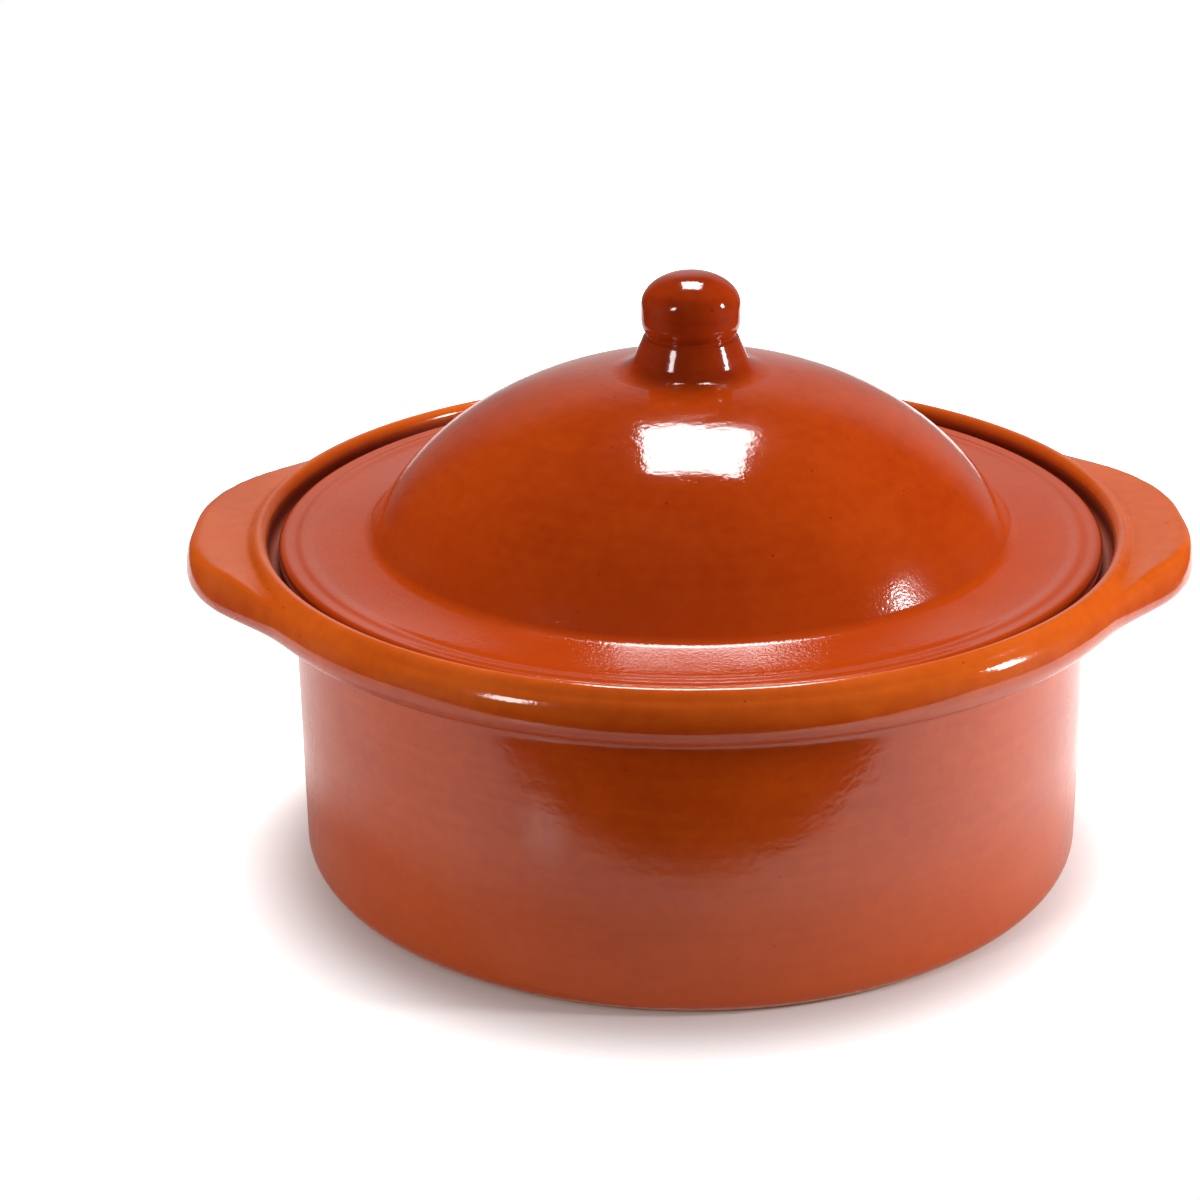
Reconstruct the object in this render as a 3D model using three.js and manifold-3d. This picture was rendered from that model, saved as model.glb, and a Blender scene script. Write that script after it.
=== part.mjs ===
// Round glazed earthenware casserole: a straight-sided pot with two flat ears, and a domed lid
// whose brim drops inside the rim and rests on a ledge there. Millimetres, +Z up, the origin at
// the middle of the flat base, and the ears along X.
import * as THREE from 'three';
import { mergeVertices } from 'three/addons/utils/BufferGeometryUtils.js';
import Module from 'manifold-3d';

// Pot
const BODY_RADIUS = 110; // outside of the upright wall
const POT_HEIGHT = 96; // base to the crest of the rim
const WALL = 10;
const FLOOR = 9.5;
const BASE_EDGE_RADIUS = 5; // outside corner between base and wall
const FLOOR_EDGE_RADIUS = 12; // inside corner between floor and wall

// Rim and the ledge inside it
const RIM_OVERHANG = 14.5; // wall to the outermost point of the rim
const RIM_WIDTH = 8; // across the rim, from mouth to outermost point
const RIM_UNDER_RADIUS = 7.2; // outermost point of the rim round to its underside
const MOUTH_EDGE_RADIUS = 2.5; // inner edge of the rim's crest
const LEDGE_DEPTH = 9; // rim crest down to the ledge
const LEDGE_THICKNESS = 7; // ledge down to the underside of the rim
const LEDGE_EDGE_RADIUS = 3; // ledge to inner wall
const LEDGE_FILLET = 2; // ledge to mouth
const UNDER_RIM_FILLET = 3; // underside of the rim to the wall

// Ears
const EAR_REACH = 14.2; // past the outermost point of the rim
const EAR_TIP_WIDTH = 11; // straight stretch at the tip
const EAR_CORNER_RADIUS = 54; // in plan, on either side of the tip
const EAR_ROOT_DEPTH = 1.5; // outermost point of the rim in to the circle that the flanks touch
const EAR_THICKNESS = 12.2;
const EAR_EDGE_RADIUS = 5;
const EAR_DROP = 2.2; // rim crest down to the ear's top face

// Lid
const LID_SIDE_GAP = 3; // mouth to the edge of the brim, all round
const BRIM_WIDTH = 26; // edge of the brim to where the dome would cut its top face
const BRIM_THICKNESS = 6.7;
const BRIM_EDGE_RADIUS = 2.8;
const DOME_RISE = 45; // top face of the brim to the top of the dome's ellipse
const DOME_CENTRE_DEPTH = 25; // top face of the brim down to the centre of that ellipse
const DOME_BLEND_HEIGHT = 5; // where the hollow curve from brim to dome ends
const LID_WALL = 7;
const LIP_BLEND_HEIGHT = 3; // rounding of the inside edge of the brim

// Knob
const KNOB_FOOT_RADIUS = 17;
const KNOB_NECK_RADIUS = 13;
const KNOB_NECK_HEIGHT = 8.4;
const KNOB_FOOT_EDGE = 0.6; // upright edge under the flare of the neck
const KNOB_FLARE_FULLNESS = 0.4; // 0 is a tight flare that hugs the neck, 1 a wide one
const KNOB_GROOVE_HEIGHT = 0.9;
const KNOB_CAP_RADIUS = 13.25;
const KNOB_CAP_HEIGHT = 16.5;
const KNOB_CAP_LOWER_HEIGHT = 7.6; // groove to the widest ring of the cap
const KNOB_CAP_UNDERCUT = 1.4; // how far the cap draws in above the groove

// Clearances
const SLIP_GAP = 0.3; // layer of slip between clay pieces that are stuck together
const SEAT_GAP = 0.3; // glaze between the lid and its ledge

// Facets, and the distance under which two vertices are one
const TURN_STEPS = 48;
const KNOB_TURN_STEPS = 24;
const CORNER_STEPS = 4;
const DOME_STEPS = 10;
const EAR_CORNER_STEPS = 6;
const EAR_EDGE_STEPS = 3;
const SAME_POINT = 1e-4;

// A rounded edge takes at most this share of the wall that it is on
const EDGE_SHARE = 0.45;

// Places that the pieces share
const innerRadius = BODY_RADIUS - WALL;
const rimRadius = BODY_RADIUS + RIM_OVERHANG;
const mouthRadius = rimRadius - RIM_WIDTH;
const ledgeZ = POT_HEIGHT - LEDGE_DEPTH;
const underRimZ = ledgeZ - LEDGE_THICKNESS;
const rimThickness = POT_HEIGHT - underRimZ;
const mouthEdge = edgeRadius(MOUTH_EDGE_RADIUS, RIM_WIDTH);
const rimEdge = Math.min(edgeRadius(RIM_WIDTH - mouthEdge, rimThickness), RIM_OVERHANG);
const rimUnderEdge = Math.min(edgeRadius(RIM_UNDER_RADIUS, rimThickness), RIM_OVERHANG);
const lidRadius = mouthRadius - LID_SIDE_GAP;

const wasm = await Module();
wasm.setup();

function edgeRadius(radius, wall) {
  return Math.min(radius, wall * EDGE_SHARE);
}

function point(r, z) {
  return new THREE.Vector2(r, z);
}

// Part of an ellipse in the (radius, height) plane
function arc(centre, radiusR, radiusZ, fromDegrees, toDegrees, steps = CORNER_STEPS) {
  const from = THREE.MathUtils.degToRad(fromDegrees);
  const to = THREE.MathUtils.degToRad(toDegrees);
  const curve = new THREE.EllipseCurve(centre.x, centre.y, radiusR, radiusZ, from, to, to < from);
  return curve.getPoints(steps);
}

// Rounding from one point to another that leaves and arrives along the lines to the corner
function rounding(from, corner, to) {
  return new THREE.QuadraticBezierCurve(from, corner, to).getPoints(CORNER_STEPS);
}

// Keeps only positions, shares equal vertices and drops the slivers that a lathe makes on its axis
function closed(geometry) {
  geometry.deleteAttribute('normal');
  geometry.deleteAttribute('uv');
  const merged = mergeVertices(geometry, SAME_POINT);
  const index = merged.index.array;
  const kept = [];
  for (let i = 0; i < index.length; i += 3) {
    const [a, b, c] = [index[i], index[i + 1], index[i + 2]];
    if (a !== b && b !== c && c !== a) {
      kept.push(a, b, c);
    }
  }
  merged.setIndex(kept);
  merged.computeVertexNormals();
  return merged;
}

// Turns a closed profile, listed from the axis outwards, upwards and back to the axis, about Z
function turned(profile, steps) {
  const geometry = new THREE.LatheGeometry(profile, steps);
  geometry.rotateX(Math.PI / 2);
  return closed(geometry);
}

function toSolid(geometry) {
  const vertProperties = new Float32Array(geometry.attributes.position.array);
  const triVerts = new Uint32Array(geometry.index.array);
  return new wasm.Manifold(new wasm.Mesh({ numProp: 3, vertProperties, triVerts }));
}

function toGeometry(solid) {
  const mesh = solid.getMesh();
  const geometry = new THREE.BufferGeometry();
  geometry.setAttribute('position', new THREE.BufferAttribute(new Float32Array(mesh.vertProperties), 3));
  geometry.setIndex(new THREE.BufferAttribute(new Uint32Array(mesh.triVerts), 1));
  geometry.computeVertexNormals();
  return geometry;
}

function piece(name, geometry, color, roughness) {
  const mesh = new THREE.Mesh(geometry, new THREE.MeshStandardMaterial({ color, roughness, metalness: 0 }));
  mesh.name = name;
  return mesh;
}

// Outside of the pot from the top of its wall round to the crest of its rim, grown outwards by an offset
function rimOutside(offset) {
  const underFillet = edgeRadius(UNDER_RIM_FILLET, RIM_OVERHANG - rimUnderEdge);
  const hollow = Math.max(underFillet - offset, 0);
  const under = rimUnderEdge + offset;
  const upper = rimEdge + offset;
  return [
    ...arc(point(BODY_RADIUS + underFillet, underRimZ - underFillet), hollow, hollow, 180, 90),
    ...arc(point(rimRadius - rimUnderEdge, underRimZ + rimUnderEdge), under, under, -90, 0),
    ...arc(point(rimRadius - rimEdge, POT_HEIGHT - rimEdge), upper, upper, 0, 90),
  ];
}

// Pot body: base, wall, rim, ledge, inside wall and floor
function potBody() {
  const baseEdge = edgeRadius(BASE_EDGE_RADIUS, underRimZ);
  const ledgeWidth = mouthRadius - innerRadius;
  const ledgeEdge = edgeRadius(LEDGE_EDGE_RADIUS, ledgeWidth);
  const ledgeFillet = Math.min(edgeRadius(LEDGE_FILLET, ledgeWidth), LID_SIDE_GAP);
  const floorEdge = edgeRadius(FLOOR_EDGE_RADIUS, ledgeZ - FLOOR);
  const profile = [
    point(0, 0),
    ...arc(point(BODY_RADIUS - baseEdge, baseEdge), baseEdge, baseEdge, -90, 0),
    ...rimOutside(0),
    ...arc(point(mouthRadius + mouthEdge, POT_HEIGHT - mouthEdge), mouthEdge, mouthEdge, 90, 180),
    ...arc(point(mouthRadius - ledgeFillet, ledgeZ + ledgeFillet), ledgeFillet, ledgeFillet, 0, -90),
    ...arc(point(innerRadius + ledgeEdge, ledgeZ - ledgeEdge), ledgeEdge, ledgeEdge, 90, 180),
    ...arc(point(innerRadius - floorEdge, FLOOR + floorEdge), floorEdge, floorEdge, 0, -90),
    point(0, FLOOR),
  ];
  return turned(profile, TURN_STEPS);
}

// Plan outline of an ear: a round-cornered tip whose flanks run on as tangents to a circle in the rim
function earOutline() {
  const centreX = rimRadius + EAR_REACH - EAR_CORNER_RADIUS;
  const centreY = EAR_TIP_WIDTH / 2;
  const rootRadius = rimRadius - EAR_ROOT_DEPTH;
  const spread = Math.acos((rootRadius - EAR_CORNER_RADIUS) / Math.hypot(centreX, centreY));
  const flank = Math.atan2(centreY, centreX) + spread;
  const root = point(rootRadius * Math.cos(flank), rootRadius * Math.sin(flank));
  const outline = new THREE.Shape();
  outline.moveTo(root.x, root.y);
  outline.lineTo(root.x, -root.y);
  outline.absarc(centreX, -centreY, EAR_CORNER_RADIUS, -flank, 0, false);
  outline.absarc(centreX, centreY, EAR_CORNER_RADIUS, 0, flank, false);
  outline.closePath();
  return outline;
}

// Ear: the outline as a slab with rounded edges, hollowed to fit round the rim and wall
function ear() {
  const edge = edgeRadius(EAR_EDGE_RADIUS, EAR_THICKNESS);
  const slab = new THREE.ExtrudeGeometry(earOutline(), {
    depth: EAR_THICKNESS - 2 * edge,
    bevelThickness: edge,
    bevelSize: edge,
    bevelOffset: -edge,
    bevelSegments: EAR_EDGE_STEPS,
    curveSegments: EAR_CORNER_STEPS,
  });
  slab.translate(0, 0, POT_HEIGHT - EAR_DROP - EAR_THICKNESS + edge);
  const outside = [point(BODY_RADIUS + SLIP_GAP, 0), ...rimOutside(SLIP_GAP)];
  const hollow = turned([point(0, 0), ...outside, point(0, POT_HEIGHT + SLIP_GAP)], TURN_STEPS);
  return toGeometry(toSolid(closed(slab)).subtract(toSolid(hollow)));
}

// The lid is listed with the underside of its brim at height 0
const domeHeight = DOME_RISE + DOME_CENTRE_DEPTH;
const domeCentreZ = BRIM_THICKNESS - DOME_CENTRE_DEPTH;
const domeFootRadius = lidRadius - BRIM_WIDTH;
const domeRadius = domeFootRadius / Math.sqrt(1 - (DOME_CENTRE_DEPTH / domeHeight) ** 2);
const knobSeatZ = domeCentreZ + domeHeight * Math.sqrt(1 - (KNOB_FOOT_RADIUS / domeRadius) ** 2);

// Rounding between the dome's ellipse, left at a height z, and a level below it: where the rounding
// starts on the ellipse, the corner that it cuts and where it ends on the level
function domeFoot(radius, height, z, levelZ) {
  const rise = (z - domeCentreZ) / height;
  const r = radius * Math.sqrt(1 - rise ** 2);
  const slope = (radius * rise) / (height * Math.sqrt(1 - rise ** 2));
  const start = point(r, z);
  const corner = point(r + slope * (z - levelZ), levelZ);
  const end = point(corner.x + corner.distanceTo(start), levelZ);
  return { start, corner, end, degrees: THREE.MathUtils.radToDeg(Math.asin(rise)) };
}

// Lid shell: hollow dome, flat brim and a flat land for the knob
function lidShell() {
  const innerHeight = domeHeight - LID_WALL;
  const lip = domeFoot(domeRadius - LID_WALL, innerHeight, LIP_BLEND_HEIGHT, 0);
  const foot = domeFoot(domeRadius, domeHeight, BRIM_THICKNESS + DOME_BLEND_HEIGHT, BRIM_THICKNESS);
  const edge = edgeRadius(BRIM_EDGE_RADIUS, BRIM_THICKNESS);
  const centre = point(0, domeCentreZ);
  const seatDegrees = THREE.MathUtils.radToDeg(Math.acos(KNOB_FOOT_RADIUS / domeRadius));
  const profile = [
    ...arc(centre, domeRadius - LID_WALL, innerHeight, 90, lip.degrees, DOME_STEPS),
    ...rounding(lip.start, lip.corner, lip.end),
    ...arc(point(lidRadius - edge, edge), edge, edge, -90, 0),
    ...arc(point(lidRadius - edge, BRIM_THICKNESS - edge), edge, edge, 0, 90),
    ...rounding(foot.end, foot.corner, foot.start),
    ...arc(centre, domeRadius, domeHeight, foot.degrees, seatDegrees, DOME_STEPS),
    point(0, knobSeatZ),
  ];
  profile[0].x = 0;
  return turned(profile, TURN_STEPS);
}

// Knob: flared neck, groove and rounded cap, listed with its foot at height 0
function lidKnob() {
  const flareRadius = KNOB_NECK_RADIUS + KNOB_FLARE_FULLNESS * (KNOB_FOOT_RADIUS - KNOB_NECK_RADIUS);
  const grooveRadius = KNOB_CAP_RADIUS - KNOB_CAP_UNDERCUT;
  const capZ = KNOB_NECK_HEIGHT + KNOB_GROOVE_HEIGHT;
  const widestZ = capZ + KNOB_CAP_LOWER_HEIGHT;
  const upperHeight = KNOB_CAP_HEIGHT - KNOB_CAP_LOWER_HEIGHT;
  const profile = [
    point(0, 0),
    point(KNOB_FOOT_RADIUS, 0),
    ...rounding(
      point(KNOB_FOOT_RADIUS, KNOB_FOOT_EDGE),
      point(flareRadius, KNOB_FOOT_EDGE),
      point(KNOB_NECK_RADIUS, KNOB_NECK_HEIGHT),
    ),
    point(grooveRadius, KNOB_NECK_HEIGHT + KNOB_GROOVE_HEIGHT / 2),
    ...arc(point(grooveRadius, widestZ), KNOB_CAP_UNDERCUT, KNOB_CAP_LOWER_HEIGHT, -90, 0),
    ...arc(point(0, widestZ), KNOB_CAP_RADIUS, upperHeight, 0, 90, CORNER_STEPS * 2),
  ];
  profile[profile.length - 1].x = 0;
  return turned(profile, KNOB_TURN_STEPS);
}

// Assembly
const pot = new THREE.Group();
pot.add(piece('pot_body', potBody(), '#a3431b', 0.25));
const rightEar = piece('right_ear', ear(), '#b4552a', 0.25);
const leftEar = piece('left_ear', ear(), '#b4552a', 0.25);
leftEar.rotation.z = Math.PI;
pot.add(rightEar, leftEar);

const lid = new THREE.Group();
lid.position.z = ledgeZ + SEAT_GAP;
const knob = piece('lid_knob', lidKnob(), '#83290f', 0.15);
knob.position.z = knobSeatZ + SLIP_GAP;
lid.add(piece('lid_shell', lidShell(), '#a8461d', 0.25), knob);

const casserole = new THREE.Group();
casserole.add(pot, lid);

export default casserole;
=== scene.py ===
# Looks of a round glazed earthenware casserole with flat ears and a domed, knobbed lid
import math

import bpy
import numpy as np
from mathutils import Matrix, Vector


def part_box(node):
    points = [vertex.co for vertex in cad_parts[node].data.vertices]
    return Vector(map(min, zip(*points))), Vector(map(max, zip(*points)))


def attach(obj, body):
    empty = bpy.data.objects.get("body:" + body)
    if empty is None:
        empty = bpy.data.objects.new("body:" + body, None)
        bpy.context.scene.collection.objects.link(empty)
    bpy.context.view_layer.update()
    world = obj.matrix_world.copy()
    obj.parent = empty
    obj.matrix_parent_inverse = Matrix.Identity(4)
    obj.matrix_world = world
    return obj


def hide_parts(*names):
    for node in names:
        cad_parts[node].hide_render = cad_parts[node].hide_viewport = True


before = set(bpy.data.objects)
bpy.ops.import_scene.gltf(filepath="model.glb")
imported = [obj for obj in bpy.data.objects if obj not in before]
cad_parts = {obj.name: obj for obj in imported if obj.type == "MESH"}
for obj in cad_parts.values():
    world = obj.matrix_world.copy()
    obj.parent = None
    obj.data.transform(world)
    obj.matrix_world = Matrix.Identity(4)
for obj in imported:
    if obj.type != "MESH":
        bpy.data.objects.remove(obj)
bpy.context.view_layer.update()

MM = 0.001

# Sizes from the frame
pot_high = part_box("pot_body")[1]
ear_low, ear_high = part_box("right_ear")
lid_low, lid_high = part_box("lid_shell")
knob_low, knob_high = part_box("lid_knob")
RIM_RADIUS = pot_high.x
POT_HEIGHT = pot_high.z
EAR_TIP = ear_high.x
EAR_TOP = ear_high.z
EAR_BOTTOM = ear_low.z
LID_RADIUS = lid_high.x
LID_BOTTOM = lid_low.z
KNOB_FOOT = knob_low.z
KNOB_TOP = knob_high.z

# Pot. Here and below, a reach is the length of a curve's handle.
BODY_RADIUS = RIM_RADIUS - 14.5 * MM
WALL = 10 * MM
INNER_RADIUS = BODY_RADIUS - WALL
POT_FLOOR = 9.5 * MM
POT_FLOOR_EDGE = 12 * MM
BASE_EDGE = 5 * MM
BASE_HOLLOW = 0.5 * MM
BASE_RING = 14 * MM
BASE_RING_SLOPE = 3 * MM
BARE_EDGE = 2.4 * MM
RIM_BOTTOM = POT_HEIGHT - 16 * MM
RIM_ROLL = 7.5 * MM
ROLL_TOP_ANGLE = 45
BEAD_HANDLE = (-0.7 * MM, 0.7 * MM)
UNDER_RIM_FILLET = 5.5 * MM
MOUTH_RADIUS = RIM_RADIUS - 8 * MM
MOUTH_EDGE = 3 * MM
CREST_RADIUS = MOUTH_RADIUS + 2.5 * MM
CREST_HEIGHT = POT_HEIGHT - 0.5 * MM
CREST_REACH = 1.6 * MM
LEDGE_HEIGHT = POT_HEIGHT - 9 * MM
LEDGE_FILLET = 2 * MM
LEDGE_EDGE = 3 * MM

# Ears
EAR_TIP_HALF = 5.5 * MM
EAR_CORNER = 54 * MM
EAR_ROOT_DEPTH = 1.5 * MM
EAR_BLEND = 4.5 * MM
EAR_EDGE_WIDTH = 3 * MM
EAR_LOWER_ROUND = 3.4 * MM
EAR_UNDER_REACH = 5 * MM
EAR_TOP_LEAST = 1 * MM
EAR_TOP_REACH = 2 * MM
VALLEY_DEPTH = 0.5 * MM
VALLEY_OUTER_REACH = 4 * MM
VALLEY_INNER_REACH = 1.5 * MM

# Lid
DOME_HALF_WIDTH = 94.2 * MM
DOME_HALF_HEIGHT = 69.6 * MM
DOME_CENTRE = LID_BOTTOM - 18.3 * MM
DOME_FOOT_RADIUS = 87.6 * MM
DOME_FOOT_TILT = 56
DOME_FOOT_FILLET = 4.4 * MM
LID_WALL = 7 * MM
LIP_RADIUS = 84.5 * MM
LIP_HEIGHT = 5 * MM
LIP_WIDTH = 5 * MM
LIP_CURL = (1 * MM, -3 * MM)
BRIM_TILT = 9
BRIM_FALL = 1 * MM
BRIM_REACH = 4 * MM
BRIM_EDGE = 1.9 * MM
BRIM_HOLLOW_RADIUS = 103.5 * MM
BRIM_HOLLOW_REACH = 1.5 * MM
RIDGE_RADIUS = LID_RADIUS - 6.3 * MM
RIDGE_HEIGHT = 0.36 * MM
RIDGE_REACH = 1.2 * MM
GROOVE_RADIUS = LID_RADIUS - 4.3 * MM
GROOVE_DEPTH = 0.18 * MM
GROOVE_REACH = 0.7 * MM

# Knob, with heights above its foot
KNOB_FILLET_WIDTH = 7.22 * MM
KNOB_FILLET_REACH = 3.8 * MM
KNOB_SUNK = 0.03 * MM
KNOB_SEAT = 1.2 * MM
KNOB_NECK_LOW_RADIUS = 15.4 * MM
KNOB_NECK_LOW = 2.2 * MM
KNOB_NECK_RADIUS = 13 * MM
KNOB_NECK_TOP = 7.8 * MM
KNOB_NECK_LOW_SHARE = 0.3
KNOB_NECK_TOP_SHARE = 0.1
KNOB_NOTCH_RADIUS = 12 * MM
KNOB_NOTCH = 8.8 * MM
KNOB_NOTCH_LOWER_REACH = (0.2 * MM, -0.5 * MM)
KNOB_NOTCH_UPPER_REACH = (0.2 * MM, 0.7 * MM)
KNOB_CAP_RADIUS = 13.45 * MM
KNOB_CAP_LOW = 12.8 * MM
KNOB_CAP_LOW_REACH = 2.6 * MM
KNOB_CAP_WIDEST = 16.9 * MM

# Marks of the wheel: spacing and depth, and in spacings how they fade and drift
OUTSIDE_RINGS = (4.6 * MM, 0.012 * MM)
INSIDE_RINGS = (7 * MM, 0.06 * MM)
RING_FADE = 2
RING_DRIFT = 0.35
RING_DRIFT_LENGTH = 3.7
HAND_WOBBLE = 0.25 * MM

# Mesh steps
TURN_STEPS = 300
KNOB_TURN_STEPS = 144
RIM_STEPS = 20
BEAD_STEPS = 14


# Outlines in the plane of radius and height, listed with the clay on their left

def arc(centre, half_width, half_height, start, end, steps):
    """Points on part of an ellipse, with angles in degrees."""
    angles = np.radians(np.linspace(start, end, steps))
    x = centre[0] + half_width * np.cos(angles)
    y = centre[1] + half_height * np.sin(angles)
    return np.column_stack((x, y))


def round_arc(centre, radius, start, end, steps):
    return arc(centre, radius, radius, start, end, steps)


def line(start, end, steps):
    share = np.linspace(0, 1, steps)[:, None]
    return np.array(start) * (1 - share) + np.array(end) * share


def bend(start, start_handle, end_handle, end, steps):
    """Points on a cubic curve that leaves and arrives along its handles."""
    t = np.linspace(0, 1, steps)[:, None]
    a, b, c, d = (np.array(p) for p in (start, start_handle, end_handle, end))
    return a * (1 - t) ** 3 + b * 3 * t * (1 - t) ** 2 + c * 3 * t ** 2 * (1 - t) + d * t ** 3


def level_bend(start, start_reach, end_reach, end, steps):
    """Curve that leaves and arrives level. A positive reach lays its handle further out from the axis."""
    start, end = np.array(start), np.array(end)
    return bend(start, start + (start_reach, 0), end + (end_reach, 0), end, steps)


def joined(*stretches):
    """One outline from stretches, with a shared end point kept once."""
    kept = [stretches[0]]
    for stretch in stretches[1:]:
        shared = np.allclose(stretch[0], kept[-1][-1], atol=1e-7)
        kept.append(stretch[1:] if shared else stretch)
    return np.concatenate(kept)


def along(outline):
    """Distance of each point from the start, measured along the outline."""
    lengths = np.hypot(*np.diff(outline, axis=0).T)
    return np.concatenate(([0], np.cumsum(lengths)))


def evenly(outline, steps):
    """The same outline with its points at even distances."""
    run = along(outline)
    places = np.linspace(0, run[-1], steps)
    return np.column_stack([np.interp(places, run, column) for column in outline.T])


def ringed(outline, rings):
    """The outline with shallow wheel marks pressed into the clay, fading out at both ends."""
    spacing, depth = rings
    run = along(outline)
    step = np.gradient(outline, axis=0)
    left = np.column_stack((-step[:, 1], step[:, 0])) / np.hypot(*step.T)[:, None]
    fade = np.clip(np.minimum(run, run[-1] - run) / (RING_FADE * spacing), 0, 1)
    drift = RING_DRIFT * np.sin(run / (RING_DRIFT_LENGTH * spacing))
    waves = 0.5 - 0.5 * np.cos(2 * math.pi * (run / spacing + drift))
    return outline + left * (depth * fade * waves)[:, None]


# Meshes

def wobbled(sections):
    """Slightly uneven rounds, as a hand leaves them, always inside the true ones."""
    angles = np.linspace(0, 2 * math.pi, len(sections), endpoint=False)[:, None]
    heights = sections[..., 1] / POT_HEIGHT
    uneven = (
        0.5 * np.sin(2 * angles + 0.7 + heights)
        + 0.3 * np.sin(3 * angles + 2.1)
        + 0.2 * np.sin(5 * angles)
    )
    moved = sections.copy()
    moved[..., 0] *= 1 - HAND_WOBBLE / BODY_RADIUS * (0.5 + 0.5 * uneven)
    return moved


def turned_mesh(name, sections, materials, second_rows=0):
    """Closed mesh from one outline for each angle. Every outline starts and ends on the axis.

    That many rows at the outline's start take the second material, and the others the first.
    """
    turns, points_each = sections.shape[:2]
    angles = np.linspace(0, 2 * math.pi, turns, endpoint=False)[:, None]
    radius = sections[:, 1:-1, 0]
    rings = np.stack((
        radius * np.cos(angles),
        radius * np.sin(angles),
        sections[:, 1:-1, 1],
    ), axis=-1).reshape(-1, 3)
    first_pole = (0, 0, sections[:, 0, 1].mean())
    last_pole = (0, 0, sections[:, -1, 1].mean())
    points = np.vstack((rings, first_pole, last_pole))
    inner = points_each - 2
    first, last = len(rings), len(rings) + 1
    faces = []
    for turn in range(turns):
        here = turn * inner
        there = (turn + 1) % turns * inner
        faces.append((first, there, here))
        for row in range(inner - 1):
            faces.append((here + row, there + row, there + row + 1, here + row + 1))
        faces.append((here + inner - 1, there + inner - 1, last))
    mesh = bpy.data.meshes.new(name)
    mesh.from_pydata(points.tolist(), [], faces)
    for material in materials:
        mesh.materials.append(material)
    material_of_row = np.where(np.arange(points_each - 1) < second_rows, 1, 0)
    mesh.polygons.foreach_set("material_index", np.tile(material_of_row, turns))
    mesh.shade_smooth()
    mesh.update()
    piece = bpy.data.objects.new(name, mesh)
    bpy.context.scene.collection.objects.link(piece)
    return piece


# Pot

def ear_distance(angles):
    """Distance of the ears' plan outline from the axis, and how far the outline leans from a circle there."""
    x = np.abs(np.cos(angles))
    y = np.abs(np.sin(angles))
    centre_x = EAR_TIP - EAR_CORNER
    root_radius = RIM_RADIUS - EAR_ROOT_DEPTH
    reach = math.hypot(centre_x, EAR_TIP_HALF)
    flank = math.atan2(EAR_TIP_HALF, centre_x) + math.acos((root_radius - EAR_CORNER) / reach)
    direction = np.arctan2(y, x)
    # The limits 0.1 and 1.4 only keep values finite where the tip and the flank aren't used
    tip = EAR_TIP / np.maximum(x, 0.1)
    forward = x * centre_x + y * EAR_TIP_HALF
    corner = forward + np.sqrt(np.maximum(forward ** 2 - reach ** 2 + EAR_CORNER ** 2, 0))
    side = root_radius / np.cos(np.minimum(np.abs(direction - flank), 1.4))
    corner_normal = np.arctan2(corner * y - EAR_TIP_HALF, corner * x - centre_x)
    on_tip = tip * y < EAR_TIP_HALF
    on_corner = ~on_tip & (corner_normal < flank)
    on_side = ~on_tip & ~on_corner & (direction < flank)
    distance = np.select((on_tip, on_corner, on_side), (tip, corner, side), root_radius)
    normal = np.select((on_tip, on_corner, on_side), (0, corner_normal, flank), direction)
    return distance, np.abs(normal - direction)


def past_the_rim(distance):
    """How far the ear reaches past the rim, with a soft start at its root."""
    excess = distance - RIM_RADIUS
    near = np.clip((excess + EAR_ROOT_DEPTH) / (2 * EAR_ROOT_DEPTH), 0, 1)
    return np.where(excess > EAR_ROOT_DEPTH, excess, EAR_ROOT_DEPTH * near ** 2)


rim_start = (BODY_RADIUS + UNDER_RIM_FILLET, RIM_BOTTOM)
roll_centre = (RIM_RADIUS - RIM_ROLL, RIM_BOTTOM + RIM_ROLL)
roll_top = round_arc(roll_centre, RIM_ROLL, ROLL_TOP_ANGLE, ROLL_TOP_ANGLE, 1)[0]
crest = np.array((CREST_RADIUS, CREST_HEIGHT))


def bead_outline(start, start_handle):
    """From the top of the rim's roll, or of an ear, up over the bead to its crest."""
    return evenly(bend(start, start_handle, crest + (CREST_REACH, 0), crest, 40), BEAD_STEPS)


def rim_outline():
    """The rim from its underside to its crest: lower half of the roll, upper half and bead."""
    lower_round = round_arc(roll_centre, RIM_ROLL, -90, 0, 20)
    lower = joined(line(rim_start, lower_round[0], 6), lower_round)
    upper = round_arc(roll_centre, RIM_ROLL, 0, ROLL_TOP_ANGLE, 20)
    bead = bead_outline(roll_top, roll_top + BEAD_HANDLE)
    return evenly(lower, RIM_STEPS), evenly(upper, RIM_STEPS), bead


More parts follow.
